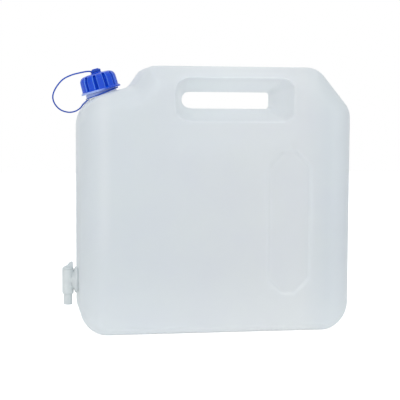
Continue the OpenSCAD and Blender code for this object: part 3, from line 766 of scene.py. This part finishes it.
def moulded(name, colour_a, colour_b, roughness, grain_strength, highlight_colour=None):
    """Injection-moulded plastic: a smooth, nearly even colour with faint flow marks and a fine grain in the
    gloss. With a highlight colour, the piece's own value paints highlights paler along its edges, and paints
    shade darker, with less gloss, on the grooves' floors."""
    material, tree = new_material(name)
    place = add_node(tree, "ShaderNodeTexCoord", (-1200, 0)).outputs["Object"]
    flow = add_node(tree, "ShaderNodeTexNoise", (-950, 200), Vector=place, Scale=55.0, Detail=3.0,
                    Distortion=0.6)
    colour = two_tone(tree, flow, colour_a, colour_b)
    grain = add_node(tree, "ShaderNodeTexNoise", (-950, -200), Vector=place, Scale=2200.0, Detail=2.0)
    bump = add_node(tree, "ShaderNodeBump", (-450, -200), Height=grain.outputs["Fac"],
                    Strength=grain_strength, Distance=0.0001)
    rough = add_node(tree, "ShaderNodeMapRange", (-450, 0), Value=flow.outputs["Fac"], _3=roughness - 0.04,
                     _4=roughness + 0.05)
    if highlight_colour:
        # painted shade darkens the groove floors and painted highlights pale the edges
        edge = add_node(tree, "ShaderNodeAttribute", (-900, 400), attribute_name=PAINTED_LIGHT_VALUE)
        deep = add_node(tree, "ShaderNodeMapRange", (-700, 500), Value=edge.outputs["Fac"], _1=0.0, _2=-1.0)
        darker = add_node(tree, "ShaderNodeMixRGB", (-450, 300), Fac=deep.outputs["Result"], Color1=colour,
                          Color2=linear(GROOVE_SHADE_BLUE))
        edge_highlight = add_node(tree, "ShaderNodeMapRange", (-450, 500), Value=edge.outputs["Fac"], _1=0.0, _2=1.0)
        mixed = add_node(tree, "ShaderNodeMixRGB", (-220, 200), Fac=edge_highlight.outputs["Result"],
                         Color1=darker.outputs["Color"], Color2=linear(highlight_colour))
        colour = mixed.outputs["Color"]
    skin = add_node(tree, "ShaderNodeBsdfPrincipled", (0, 0), Base_Color=colour, Specular_IOR_Level=0.4,
                    Roughness=rough.outputs["Result"], Normal=bump.outputs["Normal"])
    if highlight_colour:
        gloss = add_node(tree, "ShaderNodeMapRange", (-220, -100), Value=deep.outputs["Result"], _3=0.4,
                         _4=0.05)
        tree.links.new(gloss.outputs["Result"], skin.inputs["Specular IOR Level"])
    add_node(tree, "ShaderNodeOutputMaterial", (300, 0), Surface=skin.outputs["BSDF"])
    return material


canister_plastic = blown_hdpe()
cap_plastic = moulded("blue_moulded_polypropylene", "#0446CE", "#084EDA", 0.2, 0.1, "#6E9FF6")
# a paler copy of the cap's material, for a painted highlight on the flange
lit_rim_plastic = moulded("blue_polypropylene_painted_highlight", "#0C46C4", "#144ECE", 0.3, 0.1, "#A4B8F0")
# its edge colour is the painted highlight on the collar's left side
tether_plastic = moulded("blue_moulded_polyethylene", "#084AB8", "#0C52C4", 0.3, 0.12, "#AEBFEE")
tap_plastic = moulded("natural_moulded_polypropylene", "#DADFE0", "#E4E8E8", 0.34, 0.1)
plug_plastic = moulded("natural_moulded_acetal", "#D7DDDE", "#E1E5E6", 0.36, 0.1)
liner_foam = moulded("expanded_polyethylene_foam", "#E4E4DE", "#F0F0EA", 0.7, 0.6)
seal_rubber = moulded("milky_silicone_rubber", "#D5DADD", "#E0E4E6", 0.5, 0.3)

# pieces on their bodies
for piece, material, body, node, slot in (
    (shell, canister_plastic, "vessel", "canister", "natural_hdpe"),
    (cap, cap_plastic, "screw_cap", "cap", "blue_cap_plastic"),
    (tap_body, tap_plastic, "vessel", "tap_body", "natural_hdpe"),
    (plug, plug_plastic, "tap_valve", "tap_plug", "natural_hdpe"),
):
    piece.data.materials.clear()
    piece.data.materials.append(material)
    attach(piece, body)
    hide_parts(node)
# painted highlight: the flange's faces take a paler copy of the cap's material
cap.data.materials.append(lit_rim_plastic)
for face in cap.data.polygons:
    spot = to_cap @ face.center / MM
    if spot.z < 2.5 and math.hypot(spot.x, spot.y) > CAP_BORE_R + 0.2:
        face.material_index = 1
tether.data.materials.clear()
tether.data.materials.append(tether_plastic)
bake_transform(tether)
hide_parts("tether")
for node, material in (("cap_liner", liner_foam), ("tap_oring", seal_rubber), ("tap_washer", seal_rubber)):
    for material_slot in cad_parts[node].material_slots:
        material_slot.material = material

# stage, light and camera
GROUND_GLOW = 0.62
floor_bm = bmesh.new()
bmesh.ops.create_grid(floor_bm, x_segments=1, y_segments=1, size=4000)
floor = object_from(floor_bm, "floor")
floor_white, floor_tree = new_material("white_paper_sweep")
path = add_node(floor_tree, "ShaderNodeLightPath", (-600, 200))
seen = add_node(floor_tree, "ShaderNodeMath", (-200, 200), operation="MAXIMUM",
                _0=path.outputs["Is Camera Ray"], _1=path.outputs["Is Transmission Ray"])
paper = add_node(floor_tree, "ShaderNodeBsdfDiffuse", (-200, 0), Color=linear("#F4F4F4"))
glow = add_node(floor_tree, "ShaderNodeEmission", (-200, -150), Color=(1, 1, 1, 1), Strength=GROUND_GLOW)
lit = add_node(floor_tree, "ShaderNodeAddShader", (0, -50), _0=paper.outputs[0], _1=glow.outputs[0])
shown = add_node(floor_tree, "ShaderNodeMixShader", (200, 0), _0=seen.outputs[0], _1=paper.outputs[0],
                 _2=lit.outputs[0])
add_node(floor_tree, "ShaderNodeOutputMaterial", (400, 0), Surface=shown.outputs[0])
floor.data.materials.append(floor_white)

world = bpy.data.worlds.new("plain_white_room")
bpy.context.scene.world = world
world.use_nodes = True
sky = world.node_tree
sky.nodes.clear()
ray = add_node(sky, "ShaderNodeLightPath", (-600, 0))
straight = add_node(sky, "ShaderNodeMath", (-200, 0), operation="MAXIMUM", _0=ray.outputs["Is Camera Ray"],
                    _1=ray.outputs["Is Transmission Ray"])
# the side walls of the room are a little darker than its front, back and ceiling
toward = add_node(sky, "ShaderNodeTexCoord", (-1200, 300))
parts = add_node(sky, "ShaderNodeSeparateXYZ", (-1000, 300), Vector=toward.outputs["Generated"])
sideways = add_node(sky, "ShaderNodeMath", (-800, 300), operation="MULTIPLY", _0=parts.outputs["X"],
                    _1=parts.outputs["X"])
room = add_node(sky, "ShaderNodeMapRange", (-600, 300), Value=sideways.outputs[0], _3=0.96, _4=0.47)
ambient = add_node(sky, "ShaderNodeBackground", (0, 100), Color=(0.965, 1, 1.02, 1),
                   Strength=room.outputs["Result"])
backdrop = add_node(sky, "ShaderNodeBackground", (0, -100), Color=(1, 1, 1, 1), Strength=1.0)
both = add_node(sky, "ShaderNodeMixShader", (200, 0), _0=straight.outputs[0], _1=ambient.outputs[0],
                _2=backdrop.outputs[0])
add_node(sky, "ShaderNodeOutputWorld", (400, 0), Surface=both.outputs[0])


def soft_light(name, at, look_at, size, power):
    """A square softbox that faces a point."""
    lamp = bpy.data.lights.new(name, "AREA")
    lamp.shape, lamp.size, lamp.energy = "SQUARE", size, power
    made = bpy.data.objects.new(name, lamp)
    made.location = at
    made.rotation_euler = (Vector(look_at) - Vector(at)).to_track_quat("-Z", "Y").to_euler()
    bpy.context.scene.collection.objects.link(made)
    return made


soft_light("key_left_softbox", (-1.1, -1.7, 1.2), (0, 0, 0.2), 0.9, 3.5)
soft_light("left_strip", (-1.0, -1.3, 0.8), (-0.15, 0, 0.33), 0.3, 1.2)
soft_light("right_strip", (0.9, -1.3, 1.0), (-0.15, 0, 0.33), 0.3, 1.2)
soft_light("fill_right_softbox", (1.5, -1.6, 0.9), (0, 0, 0.15), 1.2, 1.0)
soft_light("top_softbox", (0, -0.2, 2.0), (0, 0, 0.2), 1.4, 0.4)

# the photograph's camera, fitted to the four edges of the body. The focal length is in pixels of the photo,
# which is 400 wide, the point in mm and the distance in m
AZIMUTH, ELEVATION, ROLL = math.radians(-9.5), math.radians(4.33), math.radians(0.30)
LOOKED_AT, DISTANCE = (-15.08, 0, 171.52), 1.5313
FOCAL_PIXELS, PHOTO_PIXELS, SENSOR = 1117.1, 400, 36.0
level = math.cos(ELEVATION)
forward = Vector((-math.sin(AZIMUTH) * level, math.cos(AZIMUTH) * level, -math.sin(ELEVATION)))
right = Vector((math.cos(AZIMUTH), math.sin(AZIMUTH), 0))
up = right.cross(forward)
rolled_right = math.cos(ROLL) * right + math.sin(ROLL) * up
rolled_up = -math.sin(ROLL) * right + math.cos(ROLL) * up
lens = bpy.data.cameras.new("photo_camera")
lens.sensor_width, lens.lens = SENSOR, FOCAL_PIXELS / PHOTO_PIXELS * SENSOR
camera = bpy.data.objects.new("photo_camera", lens)
turn = Matrix((rolled_right, rolled_up, -forward)).transposed().to_4x4()
camera.matrix_world = Matrix.Translation(Vector(LOOKED_AT) * MM - forward * DISTANCE) @ turn
bpy.context.scene.collection.objects.link(camera)
bpy.context.scene.camera = camera
bpy.context.scene.view_settings.view_transform = "Standard"

bpy.context.view_layer.update()
